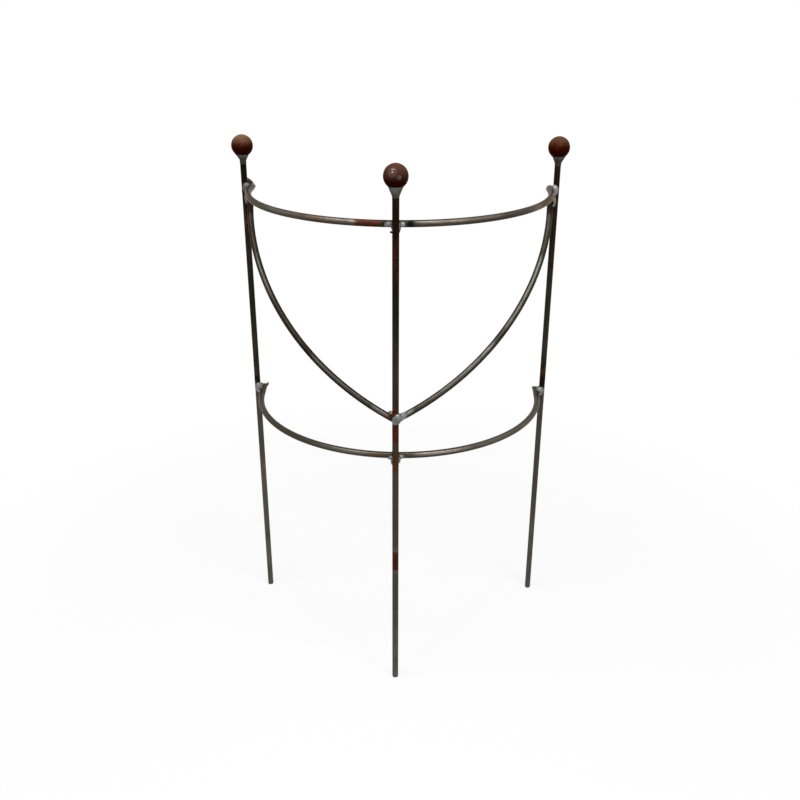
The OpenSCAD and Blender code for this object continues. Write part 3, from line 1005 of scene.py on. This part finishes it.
def ball_finish(settings, look, centre):
    """Brown rust: dust and a painted top light above, dark rust and a painted shade below, and glazed
    at spots.
    """
    material, shading = new_material(look.finish)
    place = shading.place()
    height = shading.node("ShaderNodeSeparateXYZ", {}, {0: place}, "Z")
    clouds = shading.noise(place, BALL_CLOUDS)
    grains = shading.noise(place, BALL_GRAINS)
    pits = shading.noise(place, BALL_PITS)
    up = (height - BALL_Z) * (1 / BALL_R) + 0.9 * clouds + 0.4 * grains
    # Dark rust and a painted shade below the height where the ball turns dark, rust above it
    above_dark_and_shade = shading.ramp(up, look.settled - DARK_AND_SHADE_BLUR, look.settled + DARK_AND_SHADE_BLUR)
    brown = shading.mix(above_dark_and_shade, settings.dark, settings.rust)
    # Dust and a painted top light on the upper side
    dusty = look.dusty * shading.ramp(up, low=0.0, high=0.9)
    brown = shading.mix(dusty, brown, settings.dust)
    blooming = look.blooming * shading.ramp(up, low=-0.4, high=0.3)
    brown = shading.mix(blooming, brown, settings.bloom)
    chips = shading.ramp(grains, low=0.14, high=0.22)
    brown = shading.mix(CHIP_DARKNESS * chips, brown, settings.dark)
    shine = 0.0
    for way, spread, gloss in look.glazed:
        sockets = {0: place, 1: tuple(centre + settings.radius * np.array(way))}
        away = shading.node("ShaderNodeVectorMath", {"operation": "DISTANCE"}, sockets, "Value")
        reach = spread * settings.radius
        shine = shine + gloss * shading.ramp(reach - away, 0, GLAZE_EDGE * reach)
    if look.glazed:
        shine = shine * shading.ramp(grains, low=-0.07, high=0.01)
    height = 0.6 * grains + 0.35 * pits + 0.5 * clouds
    close_material(shading, {
        "Base Color": brown,
        "Roughness": 0.66 + 0.25 * grains,
        "Metallic": 0.0,
        "Specular IOR Level": 0.02,
        "Specular Tint": opaque((1.0, 0.55, 0.40)),
        "Coat Weight": shine,
        "Coat Roughness": 0.14,
        "Coat IOR": 1.6,
        "Normal": shading.bump(height, distance=0.25 * MM, strength=0.5),
    })
    return material


def weld_finish(settings):
    """Silver weld metal with dull patches, straw tint where it stayed hot and black slag."""
    material, shading = new_material("weld_finish")
    place = shading.place()
    clouds = shading.noise(place, WELD_CLOUDS)
    grains = shading.noise(place, WELD_GRAINS)
    tan, slag, dull = (shading.attribute(name) for name in BEAD_LOOKS)
    clean = shading.ramp(clouds - DULL_SHADE * dull, low=-0.22, high=0.16)
    silver = shading.mix(clean, settings.shade, settings.metal)
    silver = shading.mix(DULL_SLAG * dull, silver, settings.slag)
    tinted = shading.ramp(tan + 0.6 * clouds, low=0.25, high=0.75)
    silver = shading.mix(tinted, silver, settings.straw)
    burnt = shading.ramp(slag + 0.7 * grains, low=0.3, high=0.75)
    silver = shading.mix(burnt, silver, settings.slag)
    close_material(shading, {
        "Base Color": silver,
        "Roughness": 0.40 + 0.10 * grains + 0.25 * burnt + 0.12 * tinted + 0.1 * dull,
        "Metallic": 1 - 0.6 * burnt,
        "Specular IOR Level": 0.1,
        "Specular Tint": opaque((0.8, 0.8, 0.8)),
        "Normal": shading.bump(grains + 0.6 * clouds, distance=0.03 * MM, strength=0.15),
    })
    return material


def collar_finish(settings):
    """Dull grey weld metal, darker where it thins out on the bar."""
    material, shading = new_material("collar_finish")
    place = shading.place()
    clouds = shading.noise(place, COLLAR_CLOUDS)
    grains = shading.noise(place, COLLAR_GRAINS)
    light = shading.ramp(shading.attribute("light") + 0.9 * clouds, low=-0.15, high=0.40)
    close_material(shading, {
        "Base Color": shading.mix(light, settings.collar_dark, settings.collar),
        "Roughness": 0.5 + 0.25 * grains,
        "Metallic": 0.85,
        "Specular IOR Level": 0.05,
        "Specular Tint": opaque((0.4, 0.4, 0.38)),
        "Normal": shading.bump(grains + 0.5 * clouds, distance=0.2 * MM, strength=0.4),
    })
    return material


# Operators

# How much rounder the front stake's foot is than a fresh cut
FRONT_FOOT = 1.6


def joint_at(stake, z):
    """The point on a stake's axis at a height."""
    return np.array((*STAKE_AXES[stake], z))


class PLANT_OT_stakes(bpy.types.Operator):
    """Build the three stakes: upright bar with a sheared or worn foot"""

    bl_idname = "plant_support.stakes"
    bl_label = "Stakes"

    def execute(self, context):
        settings = context.scene.plant_bar
        material = bar_finish(settings)
        feet = {
            "front": FRONT_FOOT * settings.cut_edge,
            "left": settings.cut_edge,
            "right": settings.worn_foot,
        }
        for name in STAKES:
            skin = bar_skin(
                stake_surface(STAKE_AXES[name]), square_cut(STAKE_LOW[2]), square_cut(STAKE_HIGH[2]),
                settings.radius, (feet[name], settings.cut_edge), STAKE_WEAR[name],
                lambda run: run / MM,
            )
            add_piece(name + "_stake_bar", skin, material, name + "_stake")
        return {"FINISHED"}


class PLANT_OT_hoops(bpy.types.Operator):
    """Build the two half hoops of rolled bar"""

    bl_idname = "plant_support.hoops"
    bl_label = "Hoops"

    def execute(self, context):
        settings = context.scene.plant_bar
        material = bar_finish(settings)
        rounding = (settings.crop_rounding, settings.crop_rounding)
        edge_turns = {"upper": settings.crop_turn, "lower": 0}
        melted = {"upper": settings.melt_back, "lower": 0}
        spreads = {
            "upper": (settings.crop_spread, -settings.melted),
            "lower": (settings.crop_spread, settings.crop_spread),
        }
        for name, z in HOOP_Z.items():
            crop = (settings.crop_edge, settings.crop_slope, edge_turns[name])
            start = cropped_cut(-HOOP_END * HOOP_R, *crop, 1)
            end = cropped_cut(HOOP_END * HOOP_R - melted[name], *crop, -1)
            skin = bar_skin(
                hoop_surface(z, edge_turns[name], spreads[name], settings), start, end, settings.radius,
                rounding, HOOP_WEAR[name], lambda run: np.degrees(run / HOOP_R),
            )
            add_piece(name + "_hoop_bar", skin, material, name + "_hoop")
        return {"FINISHED"}


class PLANT_OT_swags(bpy.types.Operator):
    """Build the two swags: bar rolled to an arc, mitred and coped at its foot"""

    bl_idname = "plant_support.swags"
    bl_label = "Swags"

    def execute(self, context):
        settings = context.scene.plant_bar
        material = bar_finish(settings)
        rounding = (settings.cut_edge, settings.cut_edge)
        for side, name in SIDE_NAMES.items():
            arc = SwagArc(side, context.scene.plant_swag)
            skin = bar_skin(
                arc.surface, arc.mitre, square_cut(arc.length), settings.radius,
                rounding, SWAG_WEAR[side], lambda run: run / MM,
            )
            add_piece(name + "_swag_bar", skin, material, name + "_swag")
        return {"FINISHED"}


class PLANT_OT_balls(bpy.types.Operator):
    """Build the three rusted balls"""

    bl_idname = "plant_support.balls"
    bl_label = "Balls"

    def execute(self, context):
        settings = context.scene.plant_ball
        for seed, name in enumerate(STAKES):
            centre = joint_at(name, BALL_Z)
            skin = ball_skin(centre, settings.radius, settings.dent, seed)
            material = ball_finish(settings, BALL_LOOKS[name], centre)
            add_piece(name + "_ball_top", skin, material, name + "_ball")
        return {"FINISHED"}


class PLANT_OT_collars(bpy.types.Operator):
    """Build the collars of weld under the balls"""

    bl_idname = "plant_support.collars"
    bl_label = "Collars"

    def execute(self, context):
        settings = context.scene.plant_weld
        material = collar_finish(settings)
        for seed, name in enumerate(STAKES):
            skin = collar_skin(STAKE_AXES[name], COLLARS[name], settings, COLLAR_SEED + seed)
            add_piece(name + "_ball_collar", skin, material, name + "_ball_weld")
        return {"FINISHED"}


def weld_piece(joint_name, beads, joint, side, spatter, material, settings, seed):
    """Joins the beads and the spatter of one joint into a piece that stands for its CAD weld."""
    skins = [
        bead_skin(bead, joint, side, settings, seed + number) for number, bead in enumerate(beads)
    ]
    skin = join_skins(skins + spatter)
    add_piece(joint_name + "_bead", skin, material, joint_name + "_weld")


class PLANT_OT_hoop_welds(bpy.types.Operator):
    """Build the weld beads where the hoops meet the stakes"""

    bl_idname = "plant_support.hoop_welds"
    bl_label = "Hoop Welds"

    def execute(self, context):
        settings = context.scene.plant_weld
        bar = context.scene.plant_bar
        radius = bar.radius
        material = weld_finish(settings)
        for number, (hoop, z) in enumerate(HOOP_Z.items()):
            seed = FRONT_SEED + number * SEED_STEP
            spatter = spatter_skins(stake_surface(STAKE_AXES["front"]), z, radius, seed)
            spatter += spatter_skins(hoop_surface(z, 0, (0, 0), bar), 0, radius, seed + 1)
            weld_piece(
                hoop + "_hoop_front", FRONT_BEADS[hoop], joint_at("front", z), RIGHT,
                spatter, material, settings, seed,
            )
        for number, ((hoop, side), beads) in enumerate(BACK_BEADS.items()):
            seed = BACK_SEED + number * SEED_STEP
            stake = SIDE_NAMES[side]
            z = HOOP_Z[hoop]
            spatter = spatter_skins(stake_surface(STAKE_AXES[stake]), z, radius, seed)
            weld_piece(
                f"{hoop}_hoop_{stake}", beads, joint_at(stake, z), -side,
                spatter, material, settings, seed,
            )
        return {"FINISHED"}


class PLANT_OT_swag_welds(bpy.types.Operator):
    """Build the weld beads at both ends of the swags"""

    bl_idname = "plant_support.swag_welds"
    bl_label = "Swag Welds"

    def execute(self, context):
        settings = context.scene.plant_weld
        swag = context.scene.plant_swag
        radius = context.scene.plant_bar.radius
        material = weld_finish(settings)
        top_z = HOOP_Z["upper"] - swag.top_drop
        foot_z = HOOP_Z["lower"] + swag.foot_rise
        for number, (side, name) in enumerate(SIDE_NAMES.items()):
            seed = SWAG_SEED + number * SEED_STEP
            arc = SwagArc(side, swag)
            spatter = spatter_skins(arc.surface, arc.length, radius, seed)
            spatter = spatter[:SPATTER_COUNT // 2]
            weld_piece(
                name + "_swag_top", SWAG_TOP_BEADS[side], joint_at(name, top_z), -side,
                spatter, material, settings, seed,
            )
            spatter = spatter_skins(stake_surface(STAKE_AXES["front"]), foot_z, radius, seed + 1)
            weld_piece(
                name + "_swag_foot", SWAG_FOOT_BEADS[side], joint_at("front", foot_z), RIGHT,
                spatter, material, settings, seed + 2,
            )
        return {"FINISHED"}


# Stage

WHITE = (1.0, 1.0, 1.0, 1.0)
# Distances from the middle between which the floor's shadows fade out
SHADOW_REACH = (0.35, 0.9)
# Where the lamps look, against the height of the stakes
LAMP_AIM = 0.6
# A soft light: the way to it from where it looks, how far off, how wide and how deep it is
Lamp = namedtuple("Lamp", "way distance width depth")
LAMPS = {
    "top": Lamp((-0.06, -0.25, 0.96), 2.0, 2.2, 0.6),
    "left": Lamp((-0.41, -0.60, 0.68), 2.2, 0.22, 0.22),
    "right": Lamp((0.46, -0.58, 0.67), 2.0, 0.6, 0.4),
    "low": Lamp((0.57, -0.80, 0.12), 2.0, 0.2, 0.2),
}


def seen_ray(shading):
    """1 for rays from the camera, from a gloss and through glass, and 0 for the rest."""
    path = shading.node("ShaderNodeLightPath", {}, {}, "Is Camera Ray")
    rays = path.socket.node.outputs
    seen = path + Wire(shading, rays["Is Glossy Ray"]) + Wire(shading, rays["Is Transmission Ray"])
    return shading.node("ShaderNodeClamp", {}, {"Value": seen})


def floor_material(settings):
    """A white floor that keeps the shadow near the object, and gives little light back to it.

    Its own glow and the light that it gets from the lamps make up white where no shadow falls.
    """
    material, shading = new_material("studio_floor")
    bounce = settings.floor_bounce
    lit = settings.floor_shadow
    rest = 1 - lit * settings.floor_level
    dull = shading.node("ShaderNodeBsdfDiffuse", {}, {"Color": (bounce, bounce, bounce, 1)})
    lit_part = shading.node("ShaderNodeBsdfDiffuse", {}, {"Color": (lit, lit, lit, 1)})
    own_part = shading.node("ShaderNodeEmission", {}, {"Color": WHITE, "Strength": rest})
    shaded = shading.node("ShaderNodeAddShader", {}, {0: lit_part, 1: own_part})
    plain = shading.node("ShaderNodeEmission", {}, {"Color": WHITE, "Strength": 1.0})
    distance = shading.node(
        "ShaderNodeVectorMath", {"operation": "LENGTH"}, {0: shading.place()}, "Value"
    )
    far = shading.ramp(distance, *SHADOW_REACH)
    white = shading.node("ShaderNodeMixShader", {}, {0: far, 1: shaded, 2: plain})
    surface = shading.node("ShaderNodeMixShader", {}, {0: seen_ray(shading), 1: dull, 2: white})
    shading.node("ShaderNodeOutputMaterial", {}, {"Surface": surface})
    return material


def white_world(settings):
    """A world that is white to the eye and in reflections, and a soft sky light otherwise."""
    world = bpy.data.worlds.new("studio_world")
    world.use_nodes = True
    shading = Shading(world.node_tree)
    white = shading.node("ShaderNodeBackground", {}, {"Color": WHITE, "Strength": 1.0})
    sky = shading.node("ShaderNodeBackground", {}, {"Color": WHITE, "Strength": settings.sky})
    mixed = shading.node("ShaderNodeMixShader", {}, {0: seen_ray(shading), 1: sky, 2: white})
    shading.node("ShaderNodeOutputWorld", {}, {"Surface": mixed})
    return world


def add_lamp(name, watts, target):
    """A rectangular soft light that looks at a target in the object."""
    lamp = LAMPS[name]
    light = bpy.data.lights.new(name, "AREA")
    light.energy = watts
    light.shape = "RECTANGLE"
    light.size = lamp.width
    light.size_y = lamp.depth
    holder = bpy.data.objects.new(name + "_light", light)
    holder.location = target + Vector(lamp.way).normalized() * lamp.distance
    holder.rotation_euler = (target - holder.location).to_track_quat("-Z", "Y").to_euler()
    bpy.context.scene.collection.objects.link(holder)


def add_camera(settings):
    """The camera: yaw turns it to the right, pitch looks down and roll tilts it."""
    yaw = settings.camera_yaw
    pitch = settings.camera_pitch
    roll = settings.camera_roll
    forward = Vector((
        math.sin(yaw) * math.cos(pitch), math.cos(yaw) * math.cos(pitch), -math.sin(pitch)
    ))
    right = Vector((math.cos(yaw), -math.sin(yaw), 0))
    up = right.cross(forward)
    tilted_right = math.cos(roll) * right + math.sin(roll) * up
    tilted_up = math.cos(roll) * up - math.sin(roll) * right
    turn = Matrix((tilted_right, tilted_up, -forward)).transposed()
    data = bpy.data.cameras.new("camera")
    data.lens = settings.lens
    camera = bpy.data.objects.new("camera", data)
    camera.matrix_world = Matrix.Translation(settings.camera_place) @ turn.to_4x4()
    bpy.context.scene.collection.objects.link(camera)
    bpy.context.scene.camera = camera


class PLANT_OT_stage(bpy.types.Operator):
    """Build the floor, the lights and the camera"""

    bl_idname = "plant_support.stage"
    bl_label = "Stage"

    def execute(self, context):
        settings = context.scene.plant_stage
        turn = turns_round(FLOOR_SIDES)
        rim = np.stack((np.cos(turn), np.sin(turn), 0 * turn), axis=-1) * settings.floor_radius
        mesh = bpy.data.meshes.new("floor")
        mesh.from_pydata(rim.tolist(), [], [list(range(FLOOR_SIDES))])
        mesh.materials.append(floor_material(settings))
        floor = bpy.data.objects.new("floor", mesh)
        context.scene.collection.objects.link(floor)
        context.scene.world = white_world(settings)
        target = Vector((0, 0, STAKE_HIGH[2] * LAMP_AIM))
        for name in LAMPS:
            add_lamp(name, getattr(settings, name), target)
        add_camera(settings)
        context.scene.view_settings.view_transform = "Standard"
        return {"FINISHED"}


OPERATORS = (
    PLANT_OT_stakes,
    PLANT_OT_hoops,
    PLANT_OT_swags,
    PLANT_OT_balls,
    PLANT_OT_collars,
    PLANT_OT_hoop_welds,
    PLANT_OT_swag_welds,
    PLANT_OT_stage,
)


class PLANT_PT_support(bpy.types.Panel):
    """Lists the pieces of the plant support and their sizes and colours"""

    bl_idname = "PLANT_PT_support"
    bl_label = "Plant Support"
    bl_space_type = "VIEW_3D"
    bl_region_type = "UI"
    bl_category = "Plant Support"

    def draw(self, context):
        for operator in OPERATORS:
            self.layout.operator(operator.bl_idname)
        for name, group in SETTINGS.items():
            box = self.layout.box()
            box.label(text=group.__doc__)
            for setting in group.__annotations__:
                box.prop(getattr(context.scene, name), setting)


CLASSES = (*SETTINGS.values(), *OPERATORS, PLANT_PT_support)


def register():
    for each in CLASSES:
        bpy.utils.register_class(each)
    for name, group in SETTINGS.items():
        setattr(bpy.types.Scene, name, bpy.props.PointerProperty(type=group))


def unregister():
    for name in SETTINGS:
        delattr(bpy.types.Scene, name)
    for each in reversed(CLASSES):
        bpy.utils.unregister_class(each)


def main():
    register()
    bpy.ops.plant_support.stakes()
    bpy.ops.plant_support.hoops()
    bpy.ops.plant_support.swags()
    bpy.ops.plant_support.balls()
    bpy.ops.plant_support.collars()
    bpy.ops.plant_support.hoop_welds()
    bpy.ops.plant_support.swag_welds()
    bpy.ops.plant_support.stage()
    shown = sorted(name for name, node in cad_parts.items() if not node.hide_render)
    if shown:
        raise RuntimeError(f"no piece stands for {shown}")


if __name__ == "__main__":
    main()
